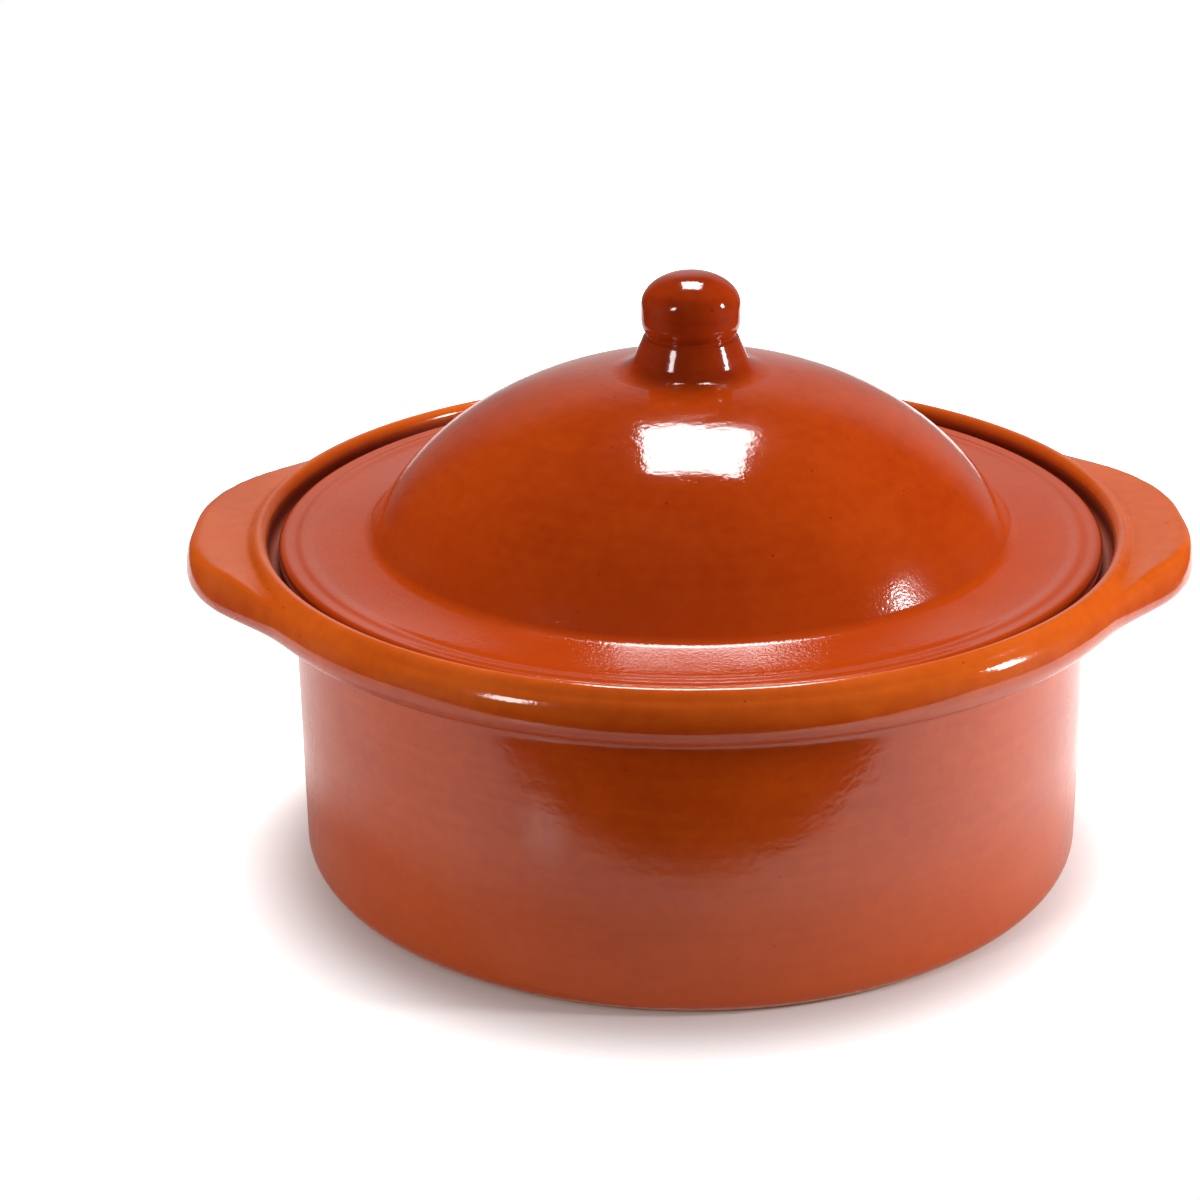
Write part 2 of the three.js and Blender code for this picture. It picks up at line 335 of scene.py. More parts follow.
def ear_outline(reach, lean):
    """The rim with an ear that reaches past it, in the same three stretches as the plain rim."""
    widest = EAR_BOTTOM + EAR_LOWER_ROUND
    upper_width = EAR_EDGE_WIDTH / math.cos(lean)
    lower_width = EAR_LOWER_ROUND / math.cos(lean)
    upper_centre = (RIM_RADIUS + reach - upper_width, widest)
    lower_centre = (RIM_RADIUS + reach - lower_width, widest)
    under = (min(RIM_RADIUS, lower_centre[0]), EAR_BOTTOM)
    lower = joined(
        level_bend(rim_start, EAR_UNDER_REACH, -EAR_UNDER_REACH, under, 14),
        line(under, (lower_centre[0], EAR_BOTTOM), 6),
        arc(lower_centre, lower_width, EAR_LOWER_ROUND, -90, 0, 14),
    )
    valley = np.array((roll_top[0], EAR_TOP - VALLEY_DEPTH))
    ear_top = (max(upper_centre[0], valley[0] + EAR_TOP_LEAST), EAR_TOP)
    upper = joined(
        arc(upper_centre, upper_width, EAR_TOP - widest, 0, 90, 20),
        level_bend(ear_top, -EAR_TOP_REACH, VALLEY_OUTER_REACH, valley, 10),
    )
    bead = bead_outline(valley, valley - (VALLEY_INNER_REACH, 0))
    return evenly(lower, RIM_STEPS), evenly(upper, RIM_STEPS), bead


def base_outline():
    """The bare base: a shallow hollow inside the ring that the pot stands on."""
    ring_inner = BODY_RADIUS - BASE_EDGE - BASE_RING
    ring_start = ring_inner + BASE_RING_SLOPE
    return joined(
        line((0, BASE_HOLLOW), (ring_inner, BASE_HOLLOW), 16),
        line((ring_inner, BASE_HOLLOW), (ring_start, 0), 4),
        line((ring_start, 0), (BODY_RADIUS - BASE_EDGE, 0), 6),
    )


def outside_outline():
    """From the base's edge up the wall to the underside of the rim."""
    wall_top = RIM_BOTTOM - UNDER_RIM_FILLET
    wall = line((BODY_RADIUS, BASE_EDGE), (BODY_RADIUS, wall_top), 64)
    return joined(
        round_arc((BODY_RADIUS - BASE_EDGE, BASE_EDGE), BASE_EDGE, -90, 0, 12),
        ringed(wall, OUTSIDE_RINGS),
        round_arc((rim_start[0], wall_top), UNDER_RIM_FILLET, 180, 90, 7),
    )


def inside_outline():
    """From the rim's crest down over the mouth and the ledge to the middle of the floor."""
    mouth_centre = (CREST_RADIUS, CREST_HEIGHT - MOUTH_EDGE)
    fillet_centre = (MOUTH_RADIUS - LEDGE_FILLET, LEDGE_HEIGHT + LEDGE_FILLET)
    edge_centre = (INNER_RADIUS + LEDGE_EDGE, LEDGE_HEIGHT - LEDGE_EDGE)
    corner_centre = (INNER_RADIUS - POT_FLOOR_EDGE, POT_FLOOR + POT_FLOOR_EDGE)
    mouth = arc(mouth_centre, CREST_RADIUS - MOUTH_RADIUS, MOUTH_EDGE, 90, 180, 9)
    ledge_fillet = round_arc(fillet_centre, LEDGE_FILLET, 0, -90, 7)
    ledge_edge = round_arc(edge_centre, LEDGE_EDGE, 90, 180, 8)
    inner_wall = line(ledge_edge[-1], (INNER_RADIUS, corner_centre[1]), 52)
    corner = round_arc(corner_centre, POT_FLOOR_EDGE, 0, -90, 12)
    return joined(
        mouth,
        line(mouth[-1], ledge_fillet[0], 4),
        ledge_fillet,
        line(ledge_fillet[-1], ledge_edge[0], 8),
        ledge_edge,
        ringed(inner_wall, INSIDE_RINGS),
        corner,
        ringed(line(corner[-1], (0, POT_FLOOR), 60), INSIDE_RINGS),
    )


def pot_sections():
    """The pot's outline at each angle, from the middle of its base round to the middle of its floor."""
    base = base_outline()
    below = joined(base, outside_outline())
    inside = inside_outline()
    rim = rim_outline()
    angles = np.linspace(0, 2 * math.pi, TURN_STEPS, endpoint=False)
    distance, lean = ear_distance(angles)
    sections = []
    for past_rim, lean_here in zip(past_the_rim(distance), lean):
        share = 1 - (1 - min(past_rim / (2 * EAR_BLEND), 1)) ** 2
        full_reach = past_rim / share if share > 0 else EAR_BLEND
        ear = ear_outline(full_reach, lean_here)
        blended = [plain + share * (eared - plain) for plain, eared in zip(rim, ear)]
        sections.append(joined(below, *blended, inside))
    bare_rows = len(base) - 1
    return wobbled(np.array(sections)), bare_rows


# Lid

def ellipse_height(radius):
    return DOME_CENTRE + DOME_HALF_HEIGHT * math.sqrt(1 - (radius / DOME_HALF_WIDTH) ** 2)


def ellipse_tilt(radius):
    """Angle of the dome from level."""
    slope = DOME_HALF_HEIGHT / DOME_HALF_WIDTH * radius / math.sqrt(DOME_HALF_WIDTH ** 2 - radius ** 2)
    return math.atan(slope)


def dome_foot():
    """The hollow round from the brim up to the dome, then a straight stretch to where it is as steep."""
    tilt = math.radians(DOME_FOOT_TILT)
    steepness = math.tan(tilt) * DOME_HALF_WIDTH / DOME_HALF_HEIGHT
    top_radius = DOME_HALF_WIDTH * steepness / math.hypot(1, steepness)
    top = np.array((top_radius, ellipse_height(top_radius)))
    bottom = top + (DOME_FOOT_RADIUS - top_radius) * np.array((1, -math.tan(tilt)))
    centre = bottom + DOME_FOOT_FILLET * np.array((math.sin(tilt), math.cos(tilt)))
    hollow = round_arc(centre, DOME_FOOT_FILLET, 270 - BRIM_TILT, 270 - DOME_FOOT_TILT, 24)
    return joined(hollow, line(bottom, top, 8))


def lid_inside():
    """From the middle of the hollow down to the end of the lip."""
    half_height = DOME_HALF_HEIGHT - LID_WALL
    lowest = math.degrees(math.asin((LID_BOTTOM + LIP_HEIGHT - DOME_CENTRE) / half_height))
    hollow = arc((0, DOME_CENTRE), DOME_HALF_WIDTH - LID_WALL, half_height, 90, lowest, 66)
    hollow[0, 0] = 0
    lip_end = (LIP_RADIUS + LIP_WIDTH, LID_BOTTOM)
    lip = bend(hollow[-1], hollow[-1] + LIP_CURL, (LIP_RADIUS, LID_BOTTOM), lip_end, 10)
    return joined(ringed(hollow, INSIDE_RINGS), lip)


def brim_outline(inner_end, foot_start):
    """From the lip out under the brim, round its edge, and back over its groove, ridge and hollow."""
    edge_radius = LID_RADIUS - BRIM_EDGE
    low = np.array((BRIM_HOLLOW_RADIUS, foot_start[1] - BRIM_FALL))
    top_height = low[1] + RIDGE_HEIGHT
    ridge = (RIDGE_RADIUS, top_height)
    groove = (GROOVE_RADIUS, top_height - GROOVE_DEPTH)
    low_edge = round_arc((edge_radius, LID_BOTTOM + BRIM_EDGE), BRIM_EDGE, -90, 0, 8)
    high_edge = round_arc((edge_radius, top_height - BRIM_EDGE), BRIM_EDGE, 0, 90, 10)
    downhill = BRIM_REACH * np.array((1, -math.tan(math.radians(BRIM_TILT))))
    return joined(
        line(inner_end, low_edge[0], 12),
        low_edge,
        line(low_edge[-1], high_edge[0], 3),
        high_edge,
        level_bend(high_edge[-1], -GROOVE_REACH, GROOVE_REACH, groove, 7),
        level_bend(groove, -GROOVE_REACH, GROOVE_REACH, ridge, 8),
        level_bend(ridge, -RIDGE_REACH, BRIM_HOLLOW_REACH, low, 10),
        bend(low, low - (BRIM_REACH, 0), foot_start + downhill, foot_start, 18),
    )


def lid_section():
    """The lid's outline from the middle of its hollow round to the seat of the knob."""
    inside = lid_inside()
    foot = dome_foot()
    dome_low = math.degrees(math.acos(foot[-1, 0] / DOME_HALF_WIDTH))
    dome_high = math.degrees(math.acos(KNOB_NECK_LOW_RADIUS / DOME_HALF_WIDTH))
    dome = arc((0, DOME_CENTRE), DOME_HALF_WIDTH, DOME_HALF_HEIGHT, dome_low, dome_high, 70)
    outline = joined(
        inside,
        brim_outline(inside[-1], foot[0]),
        foot,
        ringed(dome, OUTSIDE_RINGS),
        line(dome[-1], (0, dome[-1, 1]), 6),
    )
    hollow_rows = len(inside) - 1
    return outline, hollow_rows


# Knob

def knob_section():
    """The knob's outline from the middle of its foot up to the top of its cap."""
    neck_low = np.array((KNOB_NECK_LOW_RADIUS, KNOB_FOOT + KNOB_NECK_LOW))
    neck_top = np.array((KNOB_NECK_RADIUS, KNOB_FOOT + KNOB_NECK_TOP))
    neck = neck_top - neck_low
    fillet_radius = KNOB_NECK_LOW_RADIUS + KNOB_FILLET_WIDTH
    fillet_end = np.array((fillet_radius, ellipse_height(fillet_radius) - KNOB_SUNK))
    seat = fillet_end - (0, KNOB_SEAT)
    dome_tilt = ellipse_tilt(fillet_radius)
    up_the_dome = KNOB_FILLET_REACH * np.array((-math.cos(dome_tilt), math.sin(dome_tilt)))
    notch = np.array((KNOB_NOTCH_RADIUS, KNOB_FOOT + KNOB_NOTCH))
    cap_low = np.array((KNOB_CAP_RADIUS, KNOB_FOOT + KNOB_CAP_LOW))
    widest = (KNOB_CAP_RADIUS, KNOB_FOOT + KNOB_CAP_WIDEST)
    cap = arc((0, widest[1]), KNOB_CAP_RADIUS, KNOB_TOP - widest[1], 0, 90, 40)
    cap[-1, 0] = 0
    return joined(
        line((0, seat[1]), seat, 8),
        line(seat, fillet_end, 3),
        bend(fillet_end, fillet_end + up_the_dome, neck_low - neck * KNOB_NECK_LOW_SHARE, neck_low, 16),
        line(neck_low, neck_top, 14),
        bend(neck_top, neck_top + neck * KNOB_NECK_TOP_SHARE, notch + KNOB_NOTCH_LOWER_REACH, notch, 8),
        bend(notch, notch + KNOB_NOTCH_UPPER_REACH, cap_low - (0, KNOB_CAP_LOW_REACH), cap_low, 14),
        line(cap_low, widest, 8),
        evenly(cap, 36),
    )


# Shader nodes

def add(tree, kind, inputs=None, **settings):
    """A shader node with its settings, and its inputs set to plain values or linked to other nodes."""
    made = tree.nodes.new("ShaderNode" + kind)
    for name, value in settings.items():
        setattr(made, name, value)
    for name, value in (inputs or {}).items():
        if isinstance(value, bpy.types.NodeSocket):
            tree.links.new(value, made.inputs[name])
        else:
            made.inputs[name].default_value = value
    return made


def maths(tree, operation, first, second):
    return add(tree, "Math", {0: first, 1: second}, operation=operation).outputs[0]


def times(tree, product, *factors):
    for factor in factors:
        product = maths(tree, "MULTIPLY", product, factor)
    return product


def plus(tree, total, *others):
    for other in others:
        total = maths(tree, "ADD", total, other)
    return total


def between(tree, value, zero_at, one_at):
    """0 at one value and 1 at the other, smooth between them and level beyond. Either may be the larger."""
    inputs = {"Value": value, "From Min": zero_at, "From Max": one_at}
    return add(tree, "MapRange", inputs, interpolation_type="SMOOTHSTEP").outputs["Result"]


def from_to(tree, share, start, end):
    """A number that goes evenly from start to end as the share goes from 0 to 1."""
    return add(tree, "MapRange", {"Value": share, "To Min": start, "To Max": end}).outputs["Result"]


def mixed(tree, share, first, second):
    """A colour between two others. Plain colours are given as red, green and blue."""
    first = first if isinstance(first, bpy.types.NodeSocket) else (*first, 1)
    second = second if isinstance(second, bpy.types.NodeSocket) else (*second, 1)
    return add(tree, "Mix", {0: share, 6: first, 7: second}, data_type="RGBA").outputs[2]


def noise(tree, place, feature, detail=2, stretch=(1, 1, 1)):
    """Smooth noise whose features have the given size. A stretch below 1 draws them out along that axis."""
    stretched = add(tree, "VectorMath", {0: place, 1: stretch}, operation="MULTIPLY").outputs["Vector"]
    return add(tree, "TexNoise", {"Vector": stretched, "Scale": 1 / feature, "Detail": detail}).outputs["Fac"]


def uneven(tree, place, feature, amount):
    """A length that wanders to either side of 0, to shift the end of a colour."""
    return times(tree, maths(tree, "SUBTRACT", noise(tree, place, feature, 3), 0.5), amount)


def new_material(name):
    material = bpy.data.materials.new(name)
    material.use_nodes = True
    tree = material.node_tree
    return material, tree, tree.nodes["Principled BSDF"]


def place_on(tree):
    """Position on the piece."""
    return add(tree, "TexCoord").outputs["Object"]


def part_of(tree, vector, axis):
    return add(tree, "SeparateXYZ", {"Vector": vector}).outputs[axis]


def radius_at(tree, place):
    """Distance from the upright axis."""
    flat = add(tree, "VectorMath", {0: place, 1: (1, 1, 0)}, operation="MULTIPLY").outputs["Vector"]
    return add(tree, "VectorMath", {0: flat}, operation="LENGTH").outputs["Value"]


# Glaze. The peel, the grain and the swell are each given as the size and depth of a feature.
PEEL = (1.7 * MM, 0.035 * MM)
GRAIN = (0.8 * MM, 0.012 * MM)
PIT_DEPTH = 0.05 * MM
SWELL = (17 * MM, 0.16 * MM)
NOISE_RANGE = (0.3, 0.7)
MOTTLE_RANGE = (0.25, 0.75)
GLOSS_PATCH = 24 * MM
ROUGHNESS = (0.055, 0.12)
WALL_DULLNESS = 0.05
BRIM_DULLNESS = 0.06
BARE_DULLNESS = 0.5
CLOUD_SIZE = 45 * MM
STREAK_SIZE = 2.2 * MM
MOTTLE_SIZE = 3.5 * MM
CLOUD_SHARE = 0.5
STREAK_SHARE = 0.2
MOTTLE_SHARE = 0.3
AROUND = (0.07, 0.07, 1)
SPECK_SPACING = 6 * MM
SPECK_SIZE = 0.06
SPECK_RARITY = 0.62
SPECK_STRENGTH = 0.55

# Bare clay
GRIT_SIZE = 1.2 * MM
GRIT_DEPTH = 0.15 * MM
BLOTCH_SIZE = 30 * MM
CLAY_RANGE = (0.12, 0.38)
CLAY_ROUGHNESS = 0.85

# Colours
WALL_DEEP = (0.36, 0.036, 0.002)
WALL_LIGHT = (0.48, 0.062, 0.003)
# Lighter wall colour for painted light bounced up from the floor
WALL_BOUNCE_LIT = (0.58, 0.085, 0.004)
HONEY_DEEP = (0.5, 0.07, 0.005)
HONEY_LIGHT = (0.65, 0.11, 0.01)
INSIDE_DEEP = (0.19, 0.018, 0.003)
INSIDE_LIGHT = (0.27, 0.03, 0.004)
LID_DEEP = (0.32, 0.029, 0.0018)
LID_LIGHT = (0.43, 0.05, 0.003)
# Lighter red of the brim
LID_BRIM_TONE = (0.5, 0.054, 0.003)
KNOB_DEEP = (0.2, 0.014, 0.0015)
KNOB_LIGHT = (0.33, 0.031, 0.003)
CLAY_DEEP = (0.42, 0.15, 0.075)
CLAY_LIGHT = (0.56, 0.24, 0.13)
SPECK = (0.06, 0.012, 0.004)

# Where the glaze changes, and where painted light and shade lie
# The wall lightens towards its foot: painted light bounced up from the floor
WALL_BOUNCE_HEIGHTS = (55 * MM, 5 * MM)
WALL_BOUNCE_SHARE = 0.5
HONEY_HEIGHTS = (RIM_BOTTOM + 5 * MM, RIM_BOTTOM + 12 * MM)
HONEY_END = (12 * MM, 6 * MM)
# Painted shade: the mouth's inner face below the crest, in the lid's gap, darkens towards the inside colour
GAP_SHADE_HEIGHTS = (CREST_HEIGHT - 1.5 * MM, CREST_HEIGHT - 5 * MM)
GAP_SHADE_OUTER_RADII = (MOUTH_RADIUS + 1 * MM, MOUTH_RADIUS)
GAP_SHADE_INNER_RADII = (MOUTH_RADIUS - 5 * MM, MOUTH_RADIUS - 2 * MM)
GAP_SHADE_SHARE = 0.85
INSIDE_RADII = (INNER_RADIUS + LEDGE_EDGE, INNER_RADIUS + 0.5 * MM)
BARE_HEIGHTS = (BARE_EDGE, BARE_EDGE - 0.4 * MM)
BARE_END = (5 * MM, 1.6 * MM)
KNOB_COLOUR_RADII = (KNOB_NECK_LOW_RADIUS + 6 * MM, KNOB_NECK_LOW_RADIUS + 0.5 * MM)
BRIM_RADII = (76 * MM, 92 * MM)
BRIM_TONE_SHARE = 0.6


def glaze_surface(tree, place, pitted):
    """Orange peel, fine grain and slow swell in the height of the glaze, and its uneven gloss."""
    peel_size, peel_depth = PEEL
    grain_size, grain_depth = GRAIN
    swell_size, swell_depth = SWELL
    peel = times(tree, noise(tree, place, peel_size), peel_depth)
    grain = times(tree, noise(tree, place, grain_size, 1), from_to(tree, pitted, grain_depth, PIT_DEPTH))
    swell = times(tree, noise(tree, place, swell_size, 1), swell_depth)
    height = plus(tree, peel, grain, swell)
    normal = add(tree, "Bump", {"Height": height, "Distance": 1, "Strength": 1}).outputs["Normal"]
    gloss = between(tree, noise(tree, place, GLOSS_PATCH, 3), *NOISE_RANGE)
    return normal, from_to(tree, gloss, *ROUGHNESS)


def glaze_tone(tree, place, deep, light):
    """Glaze colour that pools in clouds and runs in fine rings round the form, with a few dark specks."""
    clouds = between(tree, noise(tree, place, CLOUD_SIZE, 4), *NOISE_RANGE)
    streaks = between(tree, noise(tree, place, STREAK_SIZE, 3, AROUND), *NOISE_RANGE)
    mottle = between(tree, noise(tree, place, MOTTLE_SIZE, 3), *MOTTLE_RANGE)
    share = plus(
        tree,
        times(tree, clouds, CLOUD_SHARE),
        times(tree, streaks, STREAK_SHARE),
        times(tree, mottle, MOTTLE_SHARE),
    )
    cells = add(tree, "TexVoronoi", {"Vector": place, "Scale": 1 / SPECK_SPACING})
    speck = maths(tree, "LESS_THAN", cells.outputs["Distance"], SPECK_SIZE)
    chosen = maths(tree, "GREATER_THAN", cells.outputs["Color"], SPECK_RARITY)
    return mixed(tree, times(tree, speck, chosen, SPECK_STRENGTH), mixed(tree, share, deep, light), SPECK)


def finish_glaze(tree, shader, place, colour, dullness=0, pitted=0):
    normal, roughness = glaze_surface(tree, place, pitted)
    tree.links.new(colour, shader.inputs["Base Color"])
    tree.links.new(normal, shader.inputs["Normal"])
    tree.links.new(plus(tree, roughness, dullness), shader.inputs["Roughness"])


def pot_glaze_material():
    """Red-brown on the wall, lighter towards its foot as painted light bounced up from the floor, honey
    coloured on the rim and ears, darker inside, with painted shade at the mouth where the lid's gap lies.
    """
    material, tree, shader = new_material("pot_glaze")
    place = place_on(tree)
    height = part_of(tree, place, "Z")
    radius = radius_at(tree, place)
    # Painted light: the wall lightens towards its foot, for light bounced up from the floor
    painted_bounce = times(tree, between(tree, height, *WALL_BOUNCE_HEIGHTS), WALL_BOUNCE_SHARE)
    wall = mixed(tree, painted_bounce, glaze_tone(tree, place, WALL_DEEP, WALL_LIGHT), WALL_BOUNCE_LIT)
    honey = glaze_tone(tree, place, HONEY_DEEP, HONEY_LIGHT)
    on_rim = between(tree, plus(tree, height, uneven(tree, place, *HONEY_END)), *HONEY_HEIGHTS)
    colour = mixed(tree, on_rim, wall, honey)

    inside = glaze_tone(tree, place, INSIDE_DEEP, INSIDE_LIGHT)
    over_floor = maths(tree, "GREATER_THAN", height, POT_FLOOR / 2)
    on_inside = times(tree, between(tree, radius, *INSIDE_RADII), over_floor)
    colour = mixed(tree, on_inside, colour, inside)

    # Painted shade in the gap between the lid and the mouth, darkening the mouth's inner face
    up_the_mouth = between(tree, height, *GAP_SHADE_HEIGHTS)
    by_the_mouth = between(tree, radius, *GAP_SHADE_OUTER_RADII)
    over_ledge = between(tree, radius, *GAP_SHADE_INNER_RADII)
    painted_gap_shade = times(tree, up_the_mouth, by_the_mouth, over_ledge)
    colour = mixed(tree, times(tree, painted_gap_shade, GAP_SHADE_SHARE), colour, INSIDE_DEEP)

    by_the_foot = between(tree, plus(tree, height, uneven(tree, place, *BARE_END)), *BARE_HEIGHTS)
    bare = times(tree, by_the_foot, maths(tree, "GREATER_THAN", radius, INNER_RADIUS))
    colour = mixed(tree, bare, colour, CLAY_LIGHT)

    wall_dullness = times(tree, maths(tree, "SUBTRACT", 1, on_rim), WALL_DULLNESS)
    # Duller bare base, and duller under the painted shade in the gap
    bare_and_gap_dullness = times(tree, plus(tree, bare, painted_gap_shade), BARE_DULLNESS)
    finish_glaze(tree, shader, place, colour, plus(tree, wall_dullness, bare_and_gap_dullness))
    return material


def lid_glaze_material(name, deep, light):
    """Red-brown glaze, darker where it runs up to the knob, lighter and finely pitted on the brim."""
    material, tree, shader = new_material(name)
    place = place_on(tree)
    radius = radius_at(tree, place)
    tone = glaze_tone(tree, place, deep, light)
    brim_tone = mixed(tree, BRIM_TONE_SHARE, tone, LID_BRIM_TONE)
    knob = glaze_tone(tree, place, KNOB_DEEP, KNOB_LIGHT)
    on_brim = between(tree, radius, *BRIM_RADII)
    by_knob = between(tree, radius, *KNOB_COLOUR_RADII)
    colour = mixed(tree, by_knob, mixed(tree, on_brim, tone, brim_tone), knob)
    finish_glaze(tree, shader, place, colour, times(tree, on_brim, BRIM_DULLNESS), on_brim)
    return material


def knob_glaze_material():
    """Thick dark glaze that runs out into the lid's colour at the foot."""
    material, tree, shader = new_material("knob_glaze")
    place = place_on(tree)
    knob = glaze_tone(tree, place, KNOB_DEEP, KNOB_LIGHT)
    lid = glaze_tone(tree, place, LID_DEEP, LID_LIGHT)
    on_knob = between(tree, radius_at(tree, place), *KNOB_COLOUR_RADII)
    finish_glaze(tree, shader, place, mixed(tree, on_knob, lid, knob))
    return material


def bare_clay_material():
    """Unglazed red clay under the base."""
    material, tree, shader = new_material("bare_clay")
    place = place_on(tree)
    grit = noise(tree, place, GRIT_SIZE, 4)
    blotches = noise(tree, place, BLOTCH_SIZE, 3)
    tone = mixed(tree, between(tree, times(tree, grit, blotches), *CLAY_RANGE), CLAY_DEEP, CLAY_LIGHT)
    bump = add(tree, "Bump", {"Height": times(tree, grit, GRIT_DEPTH), "Distance": 1})
    tree.links.new(tone, shader.inputs["Base Color"])
    tree.links.new(bump.outputs["Normal"], shader.inputs["Normal"])
    shader.inputs["Roughness"].default_value = CLAY_ROUGHNESS
    return material


# Pieces

def build_object():
    sections, bare_rows = pot_sections()
    pot = turned_mesh("pot", sections, [pot_glaze_material(), bare_clay_material()], bare_rows)
    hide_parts("pot_body", "left_ear", "right_ear")
    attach(pot, "pot")

    outline, hollow_rows = lid_section()
    lid_sections = wobbled(np.repeat(outline[None], TURN_STEPS, axis=0))
    outside = lid_glaze_material("lid_glaze", LID_DEEP, LID_LIGHT)
    hollow = lid_glaze_material("lid_hollow", INSIDE_DEEP, INSIDE_LIGHT)
    lid = turned_mesh("lid", lid_sections, [outside, hollow], hollow_rows)
    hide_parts("lid_shell")
    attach(lid, "lid")

    knob_sections = np.repeat(knob_section()[None], KNOB_TURN_STEPS, axis=0)
    knob = turned_mesh("knob", knob_sections, [knob_glaze_material()])
    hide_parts("lid_knob")
    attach(knob, "lid")


# Studio, turned a little about the upright axis so that the ears stand as in the photograph
VIEW_TURN = math.radians(-1.5)

# Floor
FLOOR_FRONT = 0.187
FLOOR_SIDE = 0.33
FLOOR_BACK = 0.75
FLOOR_ROUGHNESS = 0.9
# Painted light: the floor's colour is lighter on the right, where the right lamp falls
FLOOR_LEFT = (0.93, 0.88, 0.87)
FLOOR_RIGHT = (0.98, 0.94, 0.93)
FLOOR_ACROSS = (-0.15, 0.2)
# Painted shadow: the floor's colour is darker and pinker by the pot, with painted light bounced from the
# glaze
FLOOR_PAINTED_SHADOW = (0.86, 0.78, 0.77)
FLOOR_PAINTED_SHADOW_RADII = (BODY_RADIUS, BODY_RADIUS + 22 * MM)
SHADOW_MIDDLE = (-4 * MM, -15 * MM, 0)
LIFT_RADII = (BODY_RADIUS - 18 * MM, BODY_RADIUS + 28 * MM)
# Painted glow: the floor glows in reflections on the right, standing in for lamp light falling there
MIRRORED_LIFT = 0.5
MIRRORED_ACROSS = (-0.1, 0.2)
# Painted glint: a floor patch that glows in reflections, seen as a glint on the pot's wall
GLINT_PLACE = (-108 * MM, -177 * MM, 0)
GLINT_RADII = (24 * MM, 8 * MM)

# World, with ranges of the direction that is looked in: across, away and up run from -1 to 1
FILL = 0.03
OVERHEAD = 0.33
OVERHEAD_UP = (0.2, 0.9)
LEFT_WALL = 3.2
RIGHT_WALL = 5.5
WALL_ASIDE = (0.75, 0.95)
WALL_UP = (0.38, 0.08)
DARK_ROOM = 0.012
BACKDROP = 0.28
BACKDROP_AWAY = (0.7, 0.9)
BACKDROP_TOP = (0.78, 0.6)
BACKDROP_FOOT = (-0.3, -0.1)
BACKDROP_LEFT_END = (-0.7, -0.1)
BACKDROP_MIDDLE = (0.25, 0.05)

# Lamps and camera. The picture is square.
LAMP_AIM = Vector((0, 0, 0.1))
CAMERA_DISTANCE = 0.7
CAMERA_HEIGHT = 0.357
CAMERA_TILT = 22.36
SENSOR_WIDTH = 36
LENS = 80.9
PICTURE_WIDTH = 1200
AXIS_COLUMN = 691


def turned_place(x, y, z):
    """A place in the studio, turned with the view."""
    c, s = math.cos(VIEW_TURN), math.sin(VIEW_TURN)
    return (x * c - y * s, x * s + y * c, z)


def distance_from(tree, place, middle):
    return add(tree, "VectorMath", {0: place, 1: middle}, operation="DISTANCE").outputs["Value"]


def floor_material():
    """Pale, with a painted shadow by the pot and painted light on its right side. It glows whiter away from
    the pot: fully to the camera, and in part in reflections on the right, a painted glow.

    A small patch by the front edge glows fully white in reflections, a painted glint on the pot's wall.
    """
    material, tree, shader = new_material("floor_white")
    place = place_on(tree)
    across = part_of(tree, place, "X")
    # Painted light: lighter floor colour on the right
    tone = mixed(tree, between(tree, across, *FLOOR_ACROSS), FLOOR_LEFT, FLOOR_RIGHT)
    # Painted shadow in the floor's colour close to the pot
    painted_shadow = between(tree, radius_at(tree, place), *FLOOR_PAINTED_SHADOW_RADII)
    tone = mixed(tree, painted_shadow, FLOOR_PAINTED_SHADOW, tone)
    lift = between(tree, distance_from(tree, place, SHADOW_MIDDLE), *LIFT_RADII)
    # Painted glow and glint, seen only in reflections
    glint = between(tree, distance_from(tree, place, GLINT_PLACE), *GLINT_RADII)
    on_the_right = times(tree, between(tree, across, *MIRRORED_ACROSS), MIRRORED_LIFT)
    path = add(tree, "LightPath")
    mirrored = times(tree, path.outputs["Is Glossy Ray"], maths(tree, "MAXIMUM", on_the_right, glint))
    seen = plus(tree, path.outputs["Is Camera Ray"], mirrored)
    tree.links.new(tone, shader.inputs["Base Color"])
    tree.links.new(times(tree, lift, seen), shader.inputs["Emission Strength"])
    shader.inputs["Emission Color"].default_value = (1, 1, 1, 1)
    shader.inputs["Roughness"].default_value = FLOOR_ROUGHNESS
    shader.inputs["Specular IOR Level"].default_value = 0
    return material


def add_floor():
    """Floor that ends just in front of the picture."""
    corners = [
        turned_place(-FLOOR_SIDE, -FLOOR_FRONT, 0),
        turned_place(FLOOR_SIDE, -FLOOR_FRONT, 0),
        turned_place(FLOOR_SIDE, FLOOR_BACK, 0),
        turned_place(-FLOOR_SIDE, FLOOR_BACK, 0),
    ]
    mesh = bpy.data.meshes.new("floor")
    mesh.from_pydata(corners, [], [(0, 1, 2, 3)])
    mesh.materials.append(floor_material())
    floor = bpy.data.objects.new("floor", mesh)
    bpy.context.scene.collection.objects.link(floor)


def add_softbox(name, azimuth, elevation, distance, width, height, radiance):
    """Rectangular lamp that faces the object. Azimuth is in degrees, from the camera's side to the right.

    The power is four times the area times the radiance.
    """
    around = math.radians(azimuth) + VIEW_TURN
    up = math.radians(elevation)
    away = Vector((math.sin(around) * math.cos(up), -math.cos(around) * math.cos(up), math.sin(up)))
    lamp = bpy.data.lights.new(name, "AREA")
    lamp.shape = "RECTANGLE"
    lamp.size = width
    lamp.size_y = height
    lamp.energy = 4 * width * height * radiance
    box = bpy.data.objects.new(name, lamp)
    box.location = LAMP_AIM + away * distance
    box.rotation_euler = away.to_track_quat("Z", "Y").to_euler()
    bpy.context.scene.collection.objects.link(box)


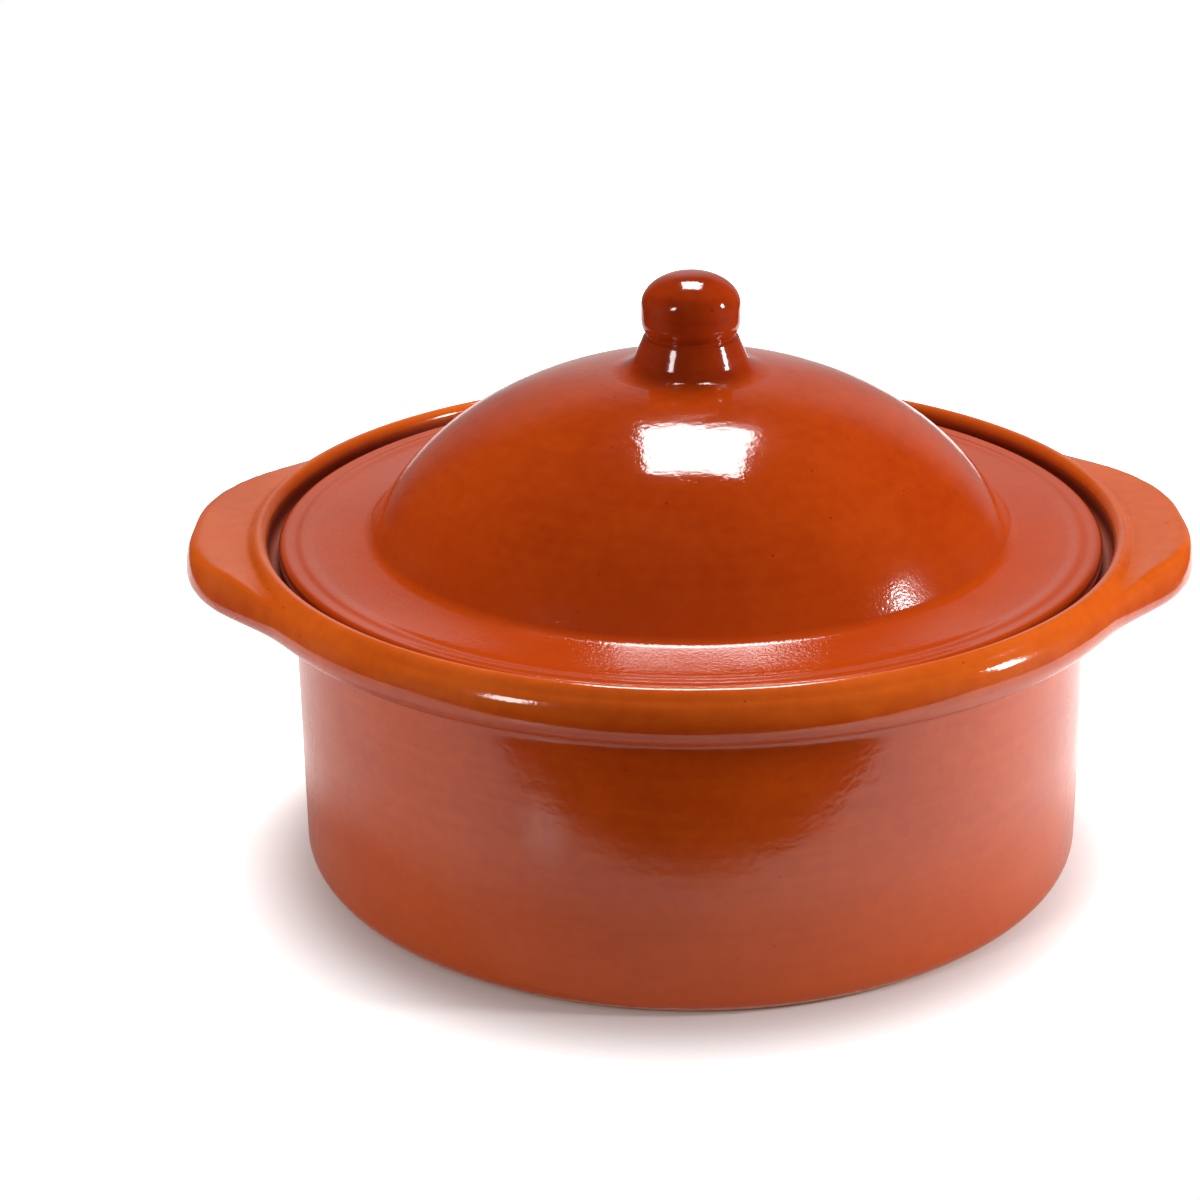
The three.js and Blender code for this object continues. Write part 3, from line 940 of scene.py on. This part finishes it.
def mirrored_room(tree, across, away, up):
    """What the glaze mirrors: a dark room with a pale backdrop, brightest in its middle."""
    aside = add(tree, "Math", {0: across}, operation="ABSOLUTE").outputs[0]
    middle = plus(tree, between(tree, aside, *BACKDROP_MIDDLE), 1)
    backdrop = times(
        tree,
        between(tree, away, *BACKDROP_AWAY),
        between(tree, up, *BACKDROP_TOP),
        between(tree, up, *BACKDROP_FOOT),
        between(tree, across, *BACKDROP_LEFT_END),
        middle,
        BACKDROP,
    )
    return plus(tree, backdrop, DARK_ROOM)


def soft_light(tree, across, up):
    """Soft light from above and from low on both sides."""
    overhead = times(tree, between(tree, up, *OVERHEAD_UP), OVERHEAD)
    right = times(tree, between(tree, across, *WALL_ASIDE), RIGHT_WALL)
    left = times(tree, between(tree, times(tree, across, -1), *WALL_ASIDE), LEFT_WALL)
    beside = times(tree, plus(tree, left, right), between(tree, up, *WALL_UP))
    return plus(tree, overhead, FILL, beside)


def add_world():
    """White to the camera, a room to reflections, and soft light to everything else."""
    world = bpy.data.worlds.new("studio")
    world.use_nodes = True
    tree = world.node_tree
    path = add(tree, "LightPath")
    direction = add(tree, "TexCoord").outputs["Generated"]
    across, away, up = (part_of(tree, direction, axis) for axis in "XYZ")
    lit = soft_light(tree, across, up)
    reflected = mirrored_room(tree, across, away, up)
    strength = add(tree, "Mix", {0: path.outputs["Is Glossy Ray"], 2: lit, 3: reflected}).outputs[0]
    strength = maths(tree, "MAXIMUM", strength, path.outputs["Is Camera Ray"])
    background = tree.nodes["Background"]
    background.inputs["Color"].default_value = (1, 1, 1, 1)
    tree.links.new(strength, background.inputs["Strength"])
    bpy.context.scene.world = world


def add_camera():
    data = bpy.data.cameras.new("camera")
    data.sensor_width = SENSOR_WIDTH
    data.lens = LENS
    data.shift_x = (PICTURE_WIDTH / 2 - AXIS_COLUMN) / PICTURE_WIDTH
    camera = bpy.data.objects.new("camera", data)
    camera.location = turned_place(0, -CAMERA_DISTANCE, CAMERA_HEIGHT)
    camera.rotation_euler = (math.radians(90 - CAMERA_TILT), 0, VIEW_TURN)
    bpy.context.scene.collection.objects.link(camera)
    bpy.context.scene.camera = camera


build_object()
add_floor()
add_softbox("key", azimuth=177.5, elevation=67, distance=1, width=0.37, height=0.37, radiance=17)
add_softbox("right_lamp", azimuth=80, elevation=20.5, distance=1.1, width=0.12, height=0.24, radiance=45)
add_softbox("left_lamp", azimuth=-43, elevation=24, distance=1.1, width=0.17, height=0.24, radiance=15)
add_world()
add_camera()
bpy.context.scene.view_settings.view_transform = "Standard"
